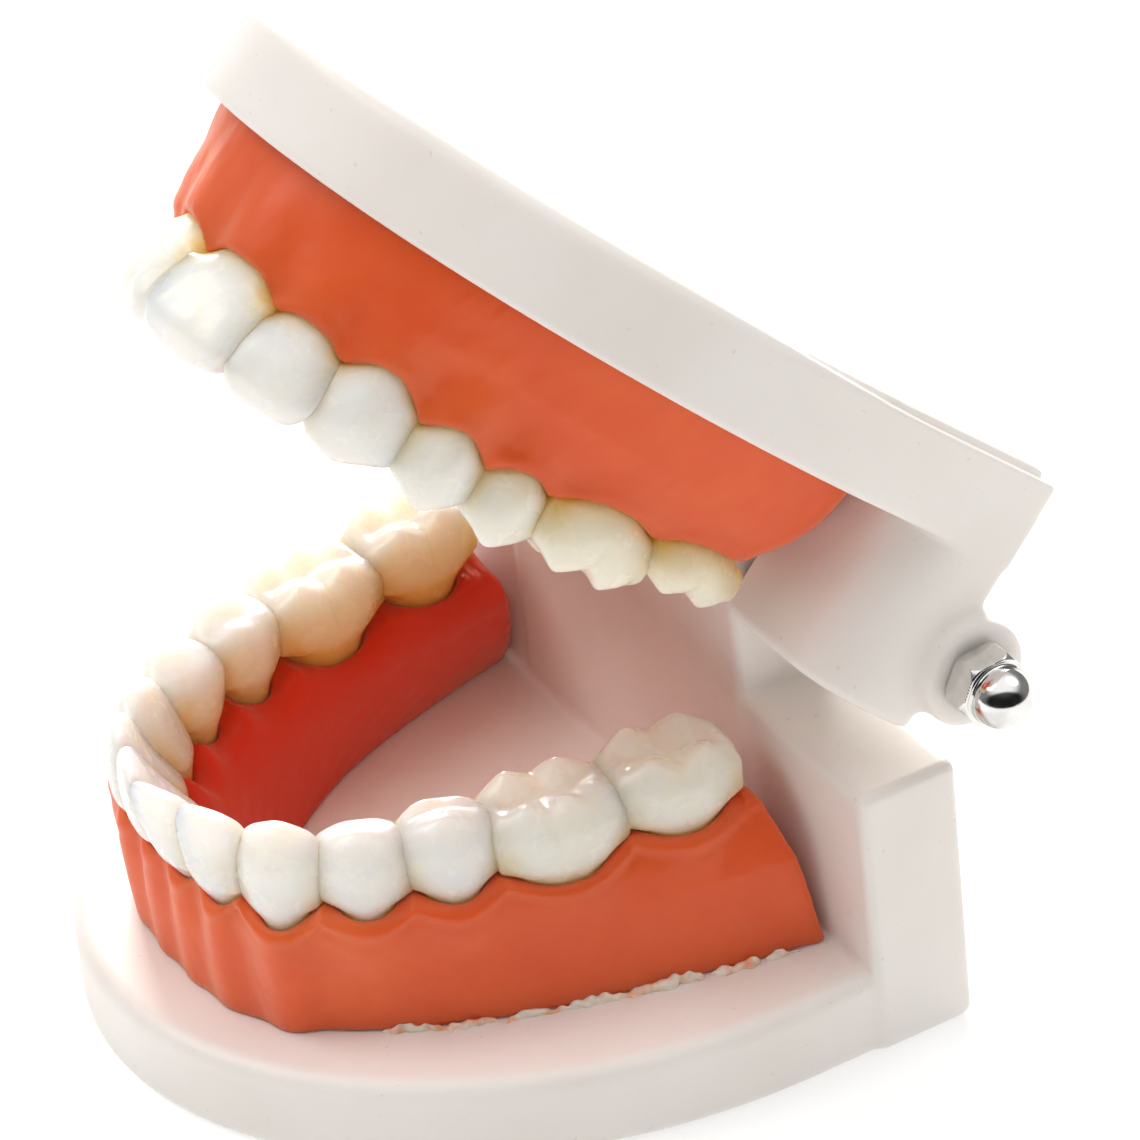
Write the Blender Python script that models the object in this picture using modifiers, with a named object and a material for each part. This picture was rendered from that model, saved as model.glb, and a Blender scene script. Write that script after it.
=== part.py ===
"""Typodont model: two hinged jaws with gums and separate teeth, standing half open.

Metres. +Z is up, -Y is the front of the mouth and +X is the wearer's left side. The origin is the middle of
the lower base's flat underside. Both jaws are laid out with the plates parallel, and the upper jaw is then
swung open about the hinge rod.
"""

import math

import bmesh
import bpy
import numpy as np
from mathutils import Matrix, Vector

# Gap kept between pieces that touch.
GAP = 0.0003

# Bases.
HALF_WIDTH = 0.0335
REAR_Y = 0.0280
SIDE_END_Y = 0.0140
LOWER_FRONT_Y = -0.0276
UPPER_FRONT_Y = -0.0277
LOWER_PLATE = 0.0072
UPPER_TOP = 0.0467
UPPER_PLATE = 0.0076
UPPER_UNDERSIDE = UPPER_TOP - UPPER_PLATE
RIM_RADIUS = 0.0015
BLOCK_DEPTH = 0.0084
BLOCK_PROUD = 0.0003
SHOULDER_Z = 0.0235
POST_HALF = 0.0171
POST_TOP = UPPER_UNDERSIDE - 0.0006
ARM_INNER = POST_HALF + 0.0004
ARM_DEPTH = 0.0092
ARM_BOTTOM = 0.0250
ARM_CORNER = 0.0055
ARM_CHAMFER = 0.0020
ARM_INSET = 0.00001
EDGE_RADIUS = 0.0009
FRONT_STEPS = 40
CORNER_STEPS = 6

# Hinge.
HINGE_Y = 0.0295
HINGE_Z = 0.0312
OPEN_ANGLE = math.radians(43.0)
EAR_RADIUS = 0.0043
EAR_PROUD = 0.0014
ROD_SEAT = HALF_WIDTH + EAR_PROUD + GAP
ROD_RADIUS = 0.0015
BORE_RADIUS = ROD_RADIUS + GAP
NUT_ACROSS_FLATS = 0.0055
NUT_HEX = 0.0026
NUT_COLLAR = 0.0007
DOME_RADIUS = 0.0024
ROD_IN_NUT = 0.0030
ROD_SEGMENTS = 20
EAR_SEGMENTS = 32
DOME_STEPS = 6

# Teeth: width along the arch, depth across it, crown height, height of the tip, form, and how far the tip
# stands out beyond the neck.
TOOTH_GAP = 0.0005
ROOT = 0.0026
RING_POINTS = 12
# Below 1 this squares the rings of a tooth.
RING_POWER = 0.8
LOWER_TEETH = (
    ("central_incisor", 0.0044, 0.0052, 0.0082, 0.0254, "incisor", 0.0027),
    ("lateral_incisor", 0.0041, 0.0054, 0.0082, 0.0254, "incisor", 0.0020),
    ("canine", 0.0056, 0.0064, 0.0082, 0.0251, "canine", 0.0005),
    ("first_premolar", 0.0062, 0.0066, 0.0070, 0.0247, "premolar", 0.0),
    ("second_premolar", 0.0065, 0.0070, 0.0070, 0.0250, "premolar", 0.0),
    ("first_molar", 0.0098, 0.0088, 0.0068, 0.0248, "molar", 0.0),
    ("second_molar", 0.0094, 0.0086, 0.0064, 0.0252, "molar", 0.0),
)
UPPER_TEETH = (
    ("central_incisor", 0.0076, 0.0060, 0.0086, 0.0224, "incisor", 0.0024),
    ("lateral_incisor", 0.0063, 0.0056, 0.0075, 0.0224, "incisor", 0.0020),
    ("canine", 0.0068, 0.0068, 0.0078, 0.0222, "canine", 0.0017),
    ("first_premolar", 0.0058, 0.0078, 0.0066, 0.0222, "premolar", 0.0012),
    ("second_premolar", 0.0058, 0.0078, 0.0064, 0.0222, "premolar", 0.0014),
    ("first_molar", 0.0092, 0.0094, 0.0064, 0.0228, "molar", 0.0017),
    ("second_molar", 0.0084, 0.0092, 0.0056, 0.0242, "molar", 0.0017),
)
# Rings of a crown from the neck up: height, width and depth as shares of the tooth's own.
CROWNS = {
    "incisor": ((0.0, 0.74, 0.86), (0.35, 0.92, 0.96), (0.75, 1.0, 0.55), (1.0, 0.94, 0.22)),
    "canine": ((0.0, 0.76, 0.88), (0.35, 0.96, 1.0), (0.70, 0.98, 0.68), (1.0, 0.34, 0.22)),
    "premolar": ((0.0, 0.80, 0.86), (0.35, 0.97, 1.0), (0.72, 1.0, 0.88), (1.0, 0.74, 0.58)),
    "molar": ((0.0, 0.86, 0.88), (0.35, 0.98, 1.0), (0.72, 1.0, 0.90), (1.0, 0.82, 0.64)),
}
ROOT_SHARE = 0.70
CUSP_DEPTH = {"incisor": 0.0, "canine": 0.0, "premolar": 0.0008, "molar": 0.0008}
FOSSA_DEPTH = {"incisor": 0.0, "canine": 0.0, "premolar": 0.0011, "molar": 0.0012}

# Arches: half-width at the rear end, loss of half-width per metre forward, rear end and front in Y, and the
# power of the superellipse.
LOWER_ARCH = (0.0202, 0.10, 0.0165, -0.0192, 3.4)
UPPER_ARCH = (0.0211, -0.03, 0.0150, -0.0251, 2.0)
# Gums: rails around the arch, each with the arch numbers, then its height at the rear and at the front.
LOWER_BED = LOWER_PLATE + GAP
UPPER_BED = UPPER_UNDERSIDE - GAP
LOWER_GUM_RAILS = (
    ((0.0278, 0.22, 0.0188, -0.0220, 3.2), LOWER_BED, LOWER_BED),
    ((0.0268, 0.19, 0.0176, -0.0222, 3.4), 0.0150, 0.0130),
    ((0.0248, 0.11, 0.0166, -0.0220, 3.5), 0.0188, 0.0168),
    ((0.0156, 0.10, 0.0166, -0.0162, 3.2), 0.0188, 0.0168),
    ((0.0156, 0.12, 0.0176, -0.0140, 3.2), 0.0150, 0.0130),
    ((0.0198, 0.26, 0.0188, -0.0090, 3.0), LOWER_BED, LOWER_BED),
)
UPPER_GUM_RAILS = (
    ((0.0276, 0.02, 0.0176, -0.0248, 2.25), UPPER_BED, UPPER_BED),
    ((0.0264, 0.02, 0.0166, -0.0251, 2.15), 0.0330, 0.0345),
    ((0.0246, 0.00, 0.0140, -0.0249, 2.05), 0.0294, 0.0308),
    ((0.0146, -0.03, 0.0140, -0.0196, 2.0), 0.0294, 0.0308),
    ((0.0142, -0.03, 0.0166, -0.0182, 2.0), 0.0330, 0.0345),
    ((0.0126, -0.03, 0.0176, -0.0154, 2.0), UPPER_BED, UPPER_BED),
)
GUM_STATIONS = 33
PALATE = 0.0024
PALATE_BACK_Y = 0.0170
PALATE_STEPS = 24

WHITE_PLASTIC = ((0.90, 0.885, 0.865), 0.42, 0.0)
GUM_PLASTIC = ((0.70, 0.10, 0.035), 0.30, 0.0)
TOOTH_PLASTIC = ((0.86, 0.80, 0.66), 0.22, 0.0)
BRIGHT_STEEL = ((0.80, 0.80, 0.80), 0.12, 1.0)


def make_collection(name):
    collection = bpy.data.collections.new(name)
    bpy.context.scene.collection.children.link(collection)
    return collection


def make_material(name, finish):
    colour, roughness, metallic = finish
    material = bpy.data.materials.new(name)
    material.use_nodes = True
    shader = material.node_tree.nodes["Principled BSDF"]
    shader.inputs["Base Color"].default_value = (*colour, 1.0)
    shader.inputs["Roughness"].default_value = roughness
    shader.inputs["Metallic"].default_value = metallic
    return material


def add_mesh_object(name, shape, collection):
    """Puts a bmesh in a new object and frees it."""
    bmesh.ops.recalc_face_normals(shape, faces=shape.faces)
    mesh = bpy.data.meshes.new(name)
    shape.to_mesh(mesh)
    shape.free()
    piece = bpy.data.objects.new(name, mesh)
    collection.objects.link(piece)
    return piece


def bake(piece):
    """Replaces the mesh by what its modifiers make of it."""
    bpy.context.view_layer.update()
    evaluated = piece.evaluated_get(bpy.context.evaluated_depsgraph_get())
    mesh = bpy.data.meshes.new_from_object(evaluated)
    piece.modifiers.clear()
    piece.data = mesh
    return piece


def bevel(piece, width, segments=2, angle=50.0):
    modifier = piece.modifiers.new("Rounded edges", "BEVEL")
    modifier.width = width
    modifier.segments = segments
    modifier.limit_method = "ANGLE"
    modifier.angle_limit = math.radians(angle)
    return bake(piece)


def combine(piece, other, operation):
    """Joins another piece to this one or cuts it out of this one, and removes the other."""
    modifier = piece.modifiers.new("Boolean", "BOOLEAN")
    modifier.operation = operation
    modifier.object = other
    bake(piece)
    bpy.data.objects.remove(other)
    return piece


def extrude_outline(name, outline, depth, placing, collection):
    """A closed flat outline in X and Y, given depth along +Z and then placed by a matrix."""
    curve = bpy.data.curves.new(name, "CURVE")
    curve.dimensions = "2D"
    curve.fill_mode = "BOTH"
    curve.extrude = depth / 2
    spline = curve.splines.new("POLY")
    spline.points.add(len(outline) - 1)
    for point, (x, y) in zip(spline.points, outline):
        point.co = (x, y, 0.0, 1.0)
    spline.use_cyclic_u = True
    guide = bpy.data.objects.new(name + "_outline", curve)
    collection.objects.link(guide)
    bpy.context.view_layer.update()
    mesh = bpy.data.meshes.new_from_object(guide.evaluated_get(bpy.context.evaluated_depsgraph_get()))
    bpy.data.objects.remove(guide)
    shape = bmesh.new()
    shape.from_mesh(mesh)
    bpy.data.meshes.remove(mesh)
    bmesh.ops.remove_doubles(shape, verts=shape.verts, dist=1e-6)
    bmesh.ops.transform(shape, matrix=placing @ Matrix.Translation((0, 0, depth / 2)), verts=shape.verts)
    return add_mesh_object(name, shape, collection)


def cylinder_along_x(name, radius, start, end, y, z, segments, collection):
    shape = bmesh.new()
    placing = Matrix.Translation(((start + end) / 2, y, z)) @ Matrix.Rotation(math.pi / 2, 4, "Y")
    bmesh.ops.create_cone(
        shape,
        cap_ends=True,
        segments=segments,
        radius1=radius,
        radius2=radius,
        depth=end - start,
        matrix=placing,
    )
    return add_mesh_object(name, shape, collection)


def ring_solid(name, rings, collection, middle=None):
    """A closed loft through rings of points. The last ring closes on a middle point where one is given."""
    shape = bmesh.new()
    rows = [[shape.verts.new(point) for point in ring] for ring in rings]
    for low, high in zip(rows, rows[1:]):
        for i in range(len(low)):
            j = (i + 1) % len(low)
            shape.faces.new((low[i], low[j], high[j], high[i]))
    shape.faces.new(reversed(rows[0]))
    if middle is None:
        shape.faces.new(rows[-1])
    else:
        top = shape.verts.new(middle)
        for i, corner in enumerate(rows[-1]):
            shape.faces.new((corner, rows[-1][(i + 1) % len(rows[-1])], top))
    return add_mesh_object(name, shape, collection)


def plate_outline(front_y, rear_y):
    """Straight sides, then half an ellipse round the front."""
    depth = SIDE_END_Y - front_y
    outline = [(-HALF_WIDTH, rear_y)]
    for i in range(FRONT_STEPS + 1):
        angle = math.pi * i / FRONT_STEPS
        outline.append((-HALF_WIDTH * math.cos(angle), SIDE_END_Y - depth * math.sin(angle)))
    outline.append((HALF_WIDTH, rear_y))
    return outline


def build_plate(name, front_y, rear_y, bottom, thickness, collection):
    outline = plate_outline(front_y, rear_y)
    plate = extrude_outline(name, outline, thickness, Matrix.Translation((0, 0, bottom)), collection)
    return bevel(plate, RIM_RADIUS)


def build_lower_base(collection):
    base = build_plate("lower_base", LOWER_FRONT_Y, REAR_Y - 0.001, 0.0, LOWER_PLATE, collection)
    wide = HALF_WIDTH + BLOCK_PROUD
    right = [(wide, 0.0), (wide, SHOULDER_Z), (POST_HALF, SHOULDER_Z), (POST_HALF, POST_TOP)]
    outline = right + [(-x, z) for x, z in reversed(right)]
    upright = Matrix.Translation((0, REAR_Y, 0)) @ Matrix.Rotation(math.pi / 2, 4, "X")
    block = bevel(extrude_outline("block", outline, BLOCK_DEPTH, upright, collection), EDGE_RADIUS)
    ear = cylinder_along_x(
        "ear", EAR_RADIUS, -POST_HALF, POST_HALF, HINGE_Y, HINGE_Z, EAR_SEGMENTS, collection
    )
    combine(block, ear, "UNION")
    combine(base, block, "UNION")
    reach = HALF_WIDTH
    bore = cylinder_along_x(
        "bore", BORE_RADIUS, -reach, reach, HINGE_Y, HINGE_Z, ROD_SEGMENTS, collection
    )
    return combine(base, bore, "DIFFERENCE")


def arm_outline(side):
    """Plan of one arm: rounded outer front corner and chamfered inner front corner."""
    front = REAR_Y - ARM_DEPTH
    outer = HALF_WIDTH - ARM_INSET
    outline = [(ARM_INNER, REAR_Y), (ARM_INNER, front + ARM_CHAMFER), (ARM_INNER + ARM_CHAMFER, front)]
    for i in range(CORNER_STEPS + 1):
        angle = math.pi / 2 * i / CORNER_STEPS
        x = outer - ARM_CORNER * (1 - math.sin(angle))
        y = front + ARM_CORNER * (1 - math.cos(angle))
        outline.append((x, y))
    outline.append((outer, REAR_Y))
    return [(side * x, y) for x, y in outline]


def build_upper_base(collection):
    front = UPPER_FRONT_Y
    base = build_plate("upper_base", front, REAR_Y, UPPER_UNDERSIDE, UPPER_PLATE, collection)
    overlap = UPPER_PLATE / 2
    for side in (-1, 1):
        placing = Matrix.Translation((0, 0, ARM_BOTTOM))
        height = UPPER_UNDERSIDE + overlap - ARM_BOTTOM
        arm = extrude_outline("arm", arm_outline(side), height, placing, collection)
        ends = sorted((side * ARM_INNER, side * (HALF_WIDTH + EAR_PROUD)))
        ear = cylinder_along_x(
            "ear", EAR_RADIUS, ends[0], ends[1], HINGE_Y, HINGE_Z, EAR_SEGMENTS, collection
        )
        combine(arm, ear, "UNION")
        combine(base, arm, "UNION")
    reach = ROD_SEAT
    bore = cylinder_along_x(
        "bore", BORE_RADIUS, -reach, reach, HINGE_Y, HINGE_Z, ROD_SEGMENTS, collection
    )
    return combine(base, bore, "DIFFERENCE")


def build_hinge_rod(collection):
    reach = ROD_SEAT + ROD_IN_NUT
    return cylinder_along_x(
        "hinge_rod", ROD_RADIUS, -reach, reach, HINGE_Y, HINGE_Z, ROD_SEGMENTS, collection
    )


def build_acorn_nut(name, side, collection):
    """Hexagon, short round collar and dome, with a blind bore. It is turned about X and then placed."""
    shape = bmesh.new()
    hex_radius = NUT_ACROSS_FLATS / math.sqrt(3)
    upright = Matrix.Translation((0, 0, NUT_HEX / 2))
    bmesh.ops.create_cone(
        shape,
        cap_ends=True,
        segments=6,
        radius1=hex_radius,
        radius2=hex_radius,
        depth=NUT_HEX,
        matrix=upright,
    )
    nut = add_mesh_object(name, shape, collection)
    profile = [(0.0, NUT_HEX + NUT_COLLAR + DOME_RADIUS)]
    for i in range(1, DOME_STEPS + 1):
        angle = math.pi / 2 * i / DOME_STEPS
        across = DOME_RADIUS * math.sin(angle)
        profile.append((across, NUT_HEX + NUT_COLLAR + DOME_RADIUS * math.cos(angle)))
    profile += [(DOME_RADIUS, NUT_HEX / 2), (0.0, NUT_HEX / 2)]
    mesh = bpy.data.meshes.new("dome")
    edges = [(i, i + 1) for i in range(len(profile) - 1)]
    mesh.from_pydata([(x, 0.0, z) for x, z in profile], edges, [])
    dome = bpy.data.objects.new("dome", mesh)
    collection.objects.link(dome)
    turn = dome.modifiers.new("Turn", "SCREW")
    turn.steps = ROD_SEGMENTS
    turn.render_steps = ROD_SEGMENTS
    turn.use_merge_vertices = True
    turn.merge_threshold = 0.00001
    combine(nut, bake(dome), "UNION")
    shape = bmesh.new()
    depth = ROD_IN_NUT + GAP
    middle = Matrix.Translation((0, 0, (depth - 0.001) / 2))
    bmesh.ops.create_cone(
        shape,
        cap_ends=True,
        segments=ROD_SEGMENTS,
        radius1=BORE_RADIUS,
        radius2=BORE_RADIUS,
        depth=depth + 0.001,
        matrix=middle,
    )
    combine(nut, add_mesh_object("bore", shape, collection), "DIFFERENCE")
    turned = Matrix.Rotation(side * math.pi / 2, 4, "Y")
    nut.data.transform(Matrix.Translation((side * ROD_SEAT, HINGE_Y, HINGE_Z)) @ turned)
    return nut


def arch_point(arch, angle):
    """Point of an arch at an angle: 0 is its left rear end, 90 degrees its front and 180 its right rear end."""
    half_width, taper, rear, front, superellipse = arch
    power = 2.0 / superellipse
    forward = (rear - front) * math.sin(angle) ** power
    across = math.copysign(abs(math.cos(angle)) ** power, math.cos(angle))
    return (half_width - taper * forward) * across, rear - forward


def arch_places(arch, widths):
    """Where each tooth of the left side stands: middle point and outward direction."""
    angles = np.linspace(math.pi / 2, 0.0, 400)
    points = np.array([arch_point(arch, angle) for angle in angles])
    length = np.concatenate([[0.0], np.cumsum(np.linalg.norm(np.diff(points, axis=0), axis=1))])
    places = []
    start = 0.0
    for width in widths:
        ends = [
            np.array([np.interp(at, length, points[:, axis]) for axis in (0, 1)])
            for at in (start, start + width / 2, start + width)
        ]
        along = (ends[2] - ends[0]) / np.linalg.norm(ends[2] - ends[0])
        places.append((ends[1], np.array([along[1], -along[0]])))
        start += width
    return places


def tooth_rings(tooth, grow):
    """Rings of a tooth and its middle top point. +Z is its own height from the neck, and +Y its outer side."""
    _, width, depth, height, _, form, _ = tooth
    levels = [(-ROOT - grow, CROWNS[form][0][1] * ROOT_SHARE, CROWNS[form][0][2] * ROOT_SHARE)]
    levels += [(share * height, across, deep) for share, across, deep in CROWNS[form]]
    rings = []
    for index, (z, across, deep) in enumerate(levels):
        top = index == len(levels) - 1
        half_x = (width - TOOTH_GAP) / 2 * across + grow
        half_y = depth / 2 * deep + grow
        ring = []
        for i in range(RING_POINTS):
            angle = 2 * math.pi * i / RING_POINTS
            if form == "molar":
                dip = abs(math.cos(2 * angle))
            else:
                dip = 1 - abs(math.sin(angle))
            lift = (grow - CUSP_DEPTH[form] * dip) if top else 0.0
            x = half_x * math.copysign(abs(math.cos(angle)) ** RING_POWER, math.cos(angle))
            y = half_y * math.copysign(abs(math.sin(angle)) ** RING_POWER, math.sin(angle))
            ring.append((x, y, z + lift))
        rings.append(ring)
    return rings, (0.0, 0.0, height - FOSSA_DEPTH[form] + grow)


def tooth_placing(tooth, place, side, up):
    """Matrix that stands a tooth in the arch and leans it outward. up is 1 for the lower jaw and -1 for the upper.

    A lower tooth leans about its neck, and an upper one about its tip."""
    _, _, _, height, tip, _, lean = tooth
    (x, y), (out_x, out_y) = place
    outward = Vector((side * out_x, out_y, 0.0))
    axis = Vector((0.0, 0.0, up))
    across = outward.cross(axis)
    turned = Matrix((across, outward, axis)).transposed().to_4x4()
    shear = Matrix.Identity(4)
    shear[1][2] = lean / height
    shear[1][3] = 0.0 if up > 0 else -lean
    return Matrix.Translation((side * x, y, tip - up * height)) @ turned @ shear


def build_jaw(jaw, teeth, arch, rails, up, collection):
    """The gum of one jaw with a socket cut for each tooth, and its teeth."""
    rings = []
    for i in range(GUM_STATIONS):
        angle = math.pi * i / (GUM_STATIONS - 1)
        share = math.sin(angle)
        ring = []
        for rail, rear_z, front_z in rails:
            x, y = arch_point(rail, angle)
            ring.append((x, y, rear_z + (front_z - rear_z) * share))
        rings.append(ring)
    gum = ring_solid(jaw + "_gum", rings, collection)
    if up < 0:
        outline = [arch_point(rails[-2][0], math.pi * i / PALATE_STEPS) for i in range(PALATE_STEPS + 1)]
        outline = [(x, min(y, PALATE_BACK_Y)) for x, y in outline]
        bottom = Matrix.Translation((0, 0, UPPER_BED - GAP - PALATE))
        combine(gum, extrude_outline("palate", outline, PALATE, bottom, collection), "UNION")
    pieces = [gum]
    places = arch_places(arch, [tooth[1] for tooth in teeth])
    for side, side_name in ((1, "left"), (-1, "right")):
        for tooth, place in zip(teeth, places):
            placing = tooth_placing(tooth, place, side, up)
            for grow, is_socket in ((GAP, True), (0.0, False)):
                rings, middle = tooth_rings(tooth, grow)
                name = "socket" if is_socket else f"{jaw}_{side_name}_{tooth[0]}"
                piece = ring_solid(name, rings, collection, middle)
                piece.data.transform(placing)
                if is_socket:
                    combine(gum, piece, "DIFFERENCE")
                else:
                    pieces.append(piece)
    return pieces


def finish_piece(piece, material):
    piece.data.materials.clear()
    piece.data.materials.append(material)
    piece.data.shade_smooth()
    piece.data.set_sharp_from_angle(angle=math.radians(35))


def main():
    for old in list(bpy.data.objects):
        bpy.data.objects.remove(old)
    collection = make_collection("typodont_model")
    white = make_material("white_plastic", WHITE_PLASTIC)
    gum_material = make_material("gum_plastic", GUM_PLASTIC)
    tooth_material = make_material("tooth_plastic", TOOTH_PLASTIC)
    steel = make_material("bright_steel", BRIGHT_STEEL)

    finish_piece(build_lower_base(collection), white)
    lower_jaw = build_jaw("lower", LOWER_TEETH, LOWER_ARCH, LOWER_GUM_RAILS, 1, collection)
    upper_jaw = build_jaw("upper", UPPER_TEETH, UPPER_ARCH, UPPER_GUM_RAILS, -1, collection)
    for gum, *teeth in (lower_jaw, upper_jaw):
        finish_piece(gum, gum_material)
        for tooth in teeth:
            finish_piece(tooth, tooth_material)

    upper_base = build_upper_base(collection)
    finish_piece(upper_base, white)
    steel_pieces = [
        build_hinge_rod(collection),
        build_acorn_nut("left_acorn_nut", 1, collection),
        build_acorn_nut("right_acorn_nut", -1, collection),
    ]
    for piece in steel_pieces:
        finish_piece(piece, steel)

    hinge = bpy.data.objects.new("hinge_axis", None)
    hinge.location = (0.0, HINGE_Y, HINGE_Z)
    collection.objects.link(hinge)
    to_hinge = Matrix.Translation((0.0, -HINGE_Y, -HINGE_Z))
    for piece in [upper_base, *upper_jaw, *steel_pieces]:
        piece.data.transform(to_hinge)
        piece.parent = hinge
    hinge.rotation_euler = (-OPEN_ANGLE, 0.0, 0.0)


main()
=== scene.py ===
"""Typodont model on a pale floor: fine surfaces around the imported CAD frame."""

import math

import bmesh
import bpy
import numpy as np
import openvdb
from mathutils import Matrix, Vector


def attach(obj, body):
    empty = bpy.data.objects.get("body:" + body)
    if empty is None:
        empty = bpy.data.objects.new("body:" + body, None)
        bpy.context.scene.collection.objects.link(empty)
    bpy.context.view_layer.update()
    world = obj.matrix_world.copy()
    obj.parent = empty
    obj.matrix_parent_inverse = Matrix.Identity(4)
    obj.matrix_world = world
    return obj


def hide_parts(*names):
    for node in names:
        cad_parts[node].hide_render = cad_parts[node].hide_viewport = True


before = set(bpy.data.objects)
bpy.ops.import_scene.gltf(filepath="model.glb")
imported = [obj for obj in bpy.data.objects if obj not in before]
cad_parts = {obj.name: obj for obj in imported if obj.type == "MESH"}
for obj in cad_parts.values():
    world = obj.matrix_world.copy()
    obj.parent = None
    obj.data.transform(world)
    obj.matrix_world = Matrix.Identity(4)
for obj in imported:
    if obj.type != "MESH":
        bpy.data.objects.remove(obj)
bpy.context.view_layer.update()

# Everything below is in millimetres in the shared frame with the jaws shut, until a piece is made.
MM = 0.001
OPEN_ANGLE = math.radians(43.0)
HINGE_Y = 29.5
HINGE_Z = 31.2

HALF_WIDTH = 33.5
REAR_Y = 28.0
SIDE_END_Y = 14.0
LOWER_FRONT_Y = -27.6
UPPER_FRONT_Y = -27.7
LOWER_PLATE = 7.2
UPPER_TOP = 46.7
UPPER_UNDERSIDE = 39.1
BLOCK_HALF = 33.8
BLOCK_FRONT_Y = 19.6
SHOULDER_Z = 23.5
POST_HALF = 17.1
POST_TOP = 38.5
ARM_INNER = 17.5
ARM_FRONT_Y = 18.8
ARM_BOTTOM = 25.0
ARM_CORNER = 5.5
ARM_CHAMFER = 2.0
EAR_RADIUS = 4.3
EAR_FACE = 34.9
BORE_RADIUS = 1.8
TRIM_RADIUS = 6.5

ROD_REACH = 38.2
ROD_RADIUS = 1.5
ROD_ROOT_RADIUS = 1.3
ROD_END_RADIUS = 1.2
THREAD_PITCH = 0.5
NUT_SEAT = 35.2
NUT_FLATS = 5.5
NUT_HEX = 2.6
NUT_DOME_X = 3.3
NUT_DOME_RADIUS = 2.4
NUT_BORE_RADIUS = 1.65

GUM_PITCH = 0.25
TOOTH_PITCH = 0.17
BASE_PITCH = 0.25

LOWER_ARCH = (20.2, 0.10, 16.5, -19.2, 3.4)
UPPER_ARCH = (21.1, -0.03, 15.0, -25.1, 2.0)
# Name, width along the arch, depth across it, crown height, height of the tip, form, lean of the tip past the neck.
LOWER_TEETH = (
    ("central_incisor", 4.4, 5.2, 8.2, 25.4, "lower_incisor", 3.3),
    ("lateral_incisor", 4.1, 5.4, 8.2, 25.4, "lower_incisor", 2.1),
    ("canine", 5.6, 6.4, 8.2, 25.1, "lower_canine", 0.5),
    ("first_premolar", 6.2, 6.6, 7.0, 24.7, "lower_first_premolar", 0.0),
    ("second_premolar", 6.5, 7.0, 7.0, 25.0, "lower_second_premolar", 0.0),
    ("first_molar", 9.8, 8.8, 6.8, 24.8, "lower_first_molar", 0.0),
    ("second_molar", 9.4, 8.6, 6.4, 25.2, "lower_second_molar", 0.0),
)
UPPER_TEETH = (
    ("central_incisor", 7.6, 6.0, 8.6, 22.4, "upper_incisor", 2.4),
    ("lateral_incisor", 6.3, 5.6, 7.5, 22.4, "upper_incisor", 2.0),
    ("canine", 6.8, 6.8, 7.8, 22.2, "upper_canine", 1.7),
    ("first_premolar", 5.8, 7.8, 6.6, 22.2, "upper_premolar", 1.2),
    ("second_premolar", 5.8, 7.8, 6.4, 22.2, "upper_premolar", 1.4),
    ("first_molar", 9.2, 9.4, 6.4, 22.8, "upper_molar", 1.7),
    ("second_molar", 8.4, 9.2, 5.0, 24.8, "upper_molar", 1.6),
)


# ---------------- fields

def spline(points):
    """Smooth curve through (place, value) points, as a function of arrays."""
    places = np.array([p[0] for p in points], float)
    values = np.array([p[1] for p in points], float)
    slopes = np.gradient(values, places)
    fine = np.linspace(places[0], places[-1], 200)
    k = np.clip(np.searchsorted(places, fine, side="right") - 1, 0, len(places) - 2)
    gap = places[k + 1] - places[k]
    t = (fine - places[k]) / gap
    h00 = 2 * t**3 - 3 * t**2 + 1
    h10 = t**3 - 2 * t**2 + t
    h01 = -2 * t**3 + 3 * t**2
    h11 = t**3 - t**2
    table = h00 * values[k] + h10 * gap * slopes[k] + h01 * values[k + 1] + h11 * gap * slopes[k + 1]
    return lambda at: np.interp(at, fine, table)


def round_meet(a, b, radius):
    """Intersection of two fields with a rounded edge."""
    u = np.maximum(a + radius, 0.0)
    v = np.maximum(b + radius, 0.0)
    return np.minimum(-radius, np.maximum(a, b)) + np.hypot(u, v)


def round_join(a, b, radius):
    """Union of two fields with a fillet."""
    return -round_meet(-a, -b, radius)


def soft_min(a, b, reach):
    blend = np.maximum(reach - np.abs(a - b), 0.0) / reach
    return np.minimum(a, b) - blend * blend * reach * 0.25


def soft_max(a, b, reach):
    return -soft_min(-a, -b, reach)


def step(low, high, at):
    t = np.clip((at - low) / (high - low), 0.0, 1.0)
    return t * t * (3 - 2 * t)


def bump_at(at, centre, width):
    return np.exp(-(((at - centre) / width) ** 2))


def wobble(x, y, z, scale, seed):
    """Smooth irregular field between about -1 and 1, with lumps of that size."""
    rng = np.random.default_rng(seed)
    total = 0.0
    for _ in range(7):
        way = rng.normal(size=3)
        way *= 2 * math.pi / (scale * np.linalg.norm(way)) * rng.uniform(0.6, 1.5)
        total = total + np.sin(x * way[0] + y * way[1] + z * way[2] + rng.uniform(0, 6.28))
    return total / 3.5


def grid_axes(low, high, pitch):
    return [low[i] + pitch * np.arange(int(math.ceil((high[i] - low[i]) / pitch)) + 1) for i in range(3)]


def mesh_of_field(field, low, pitch):
    """Quads of the zero surface of a field on a grid, facing out."""
    grid = openvdb.FloatGrid(10.0)
    grid.copyFromArray(np.ascontiguousarray(field, dtype=np.float32), tolerance=0.0)
    points, quads = grid.convertToQuads(0.0)
    points = points.astype(float) * pitch + np.array(low)
    a, b, c = (points[quads[:, i]] for i in range(3))
    d = points[quads[:, 3]]
    volume = np.einsum("ij,ij->i", np.cross(a, b), c).sum() + np.einsum("ij,ij->i", np.cross(a, c), d).sum()
    if volume < 0:
        quads = quads[:, ::-1]
    return points, quads


# ---------------- pieces

def new_object(name, data):
    thing = bpy.data.objects.new(name, data)
    bpy.context.scene.collection.objects.link(thing)
    return thing


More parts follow.
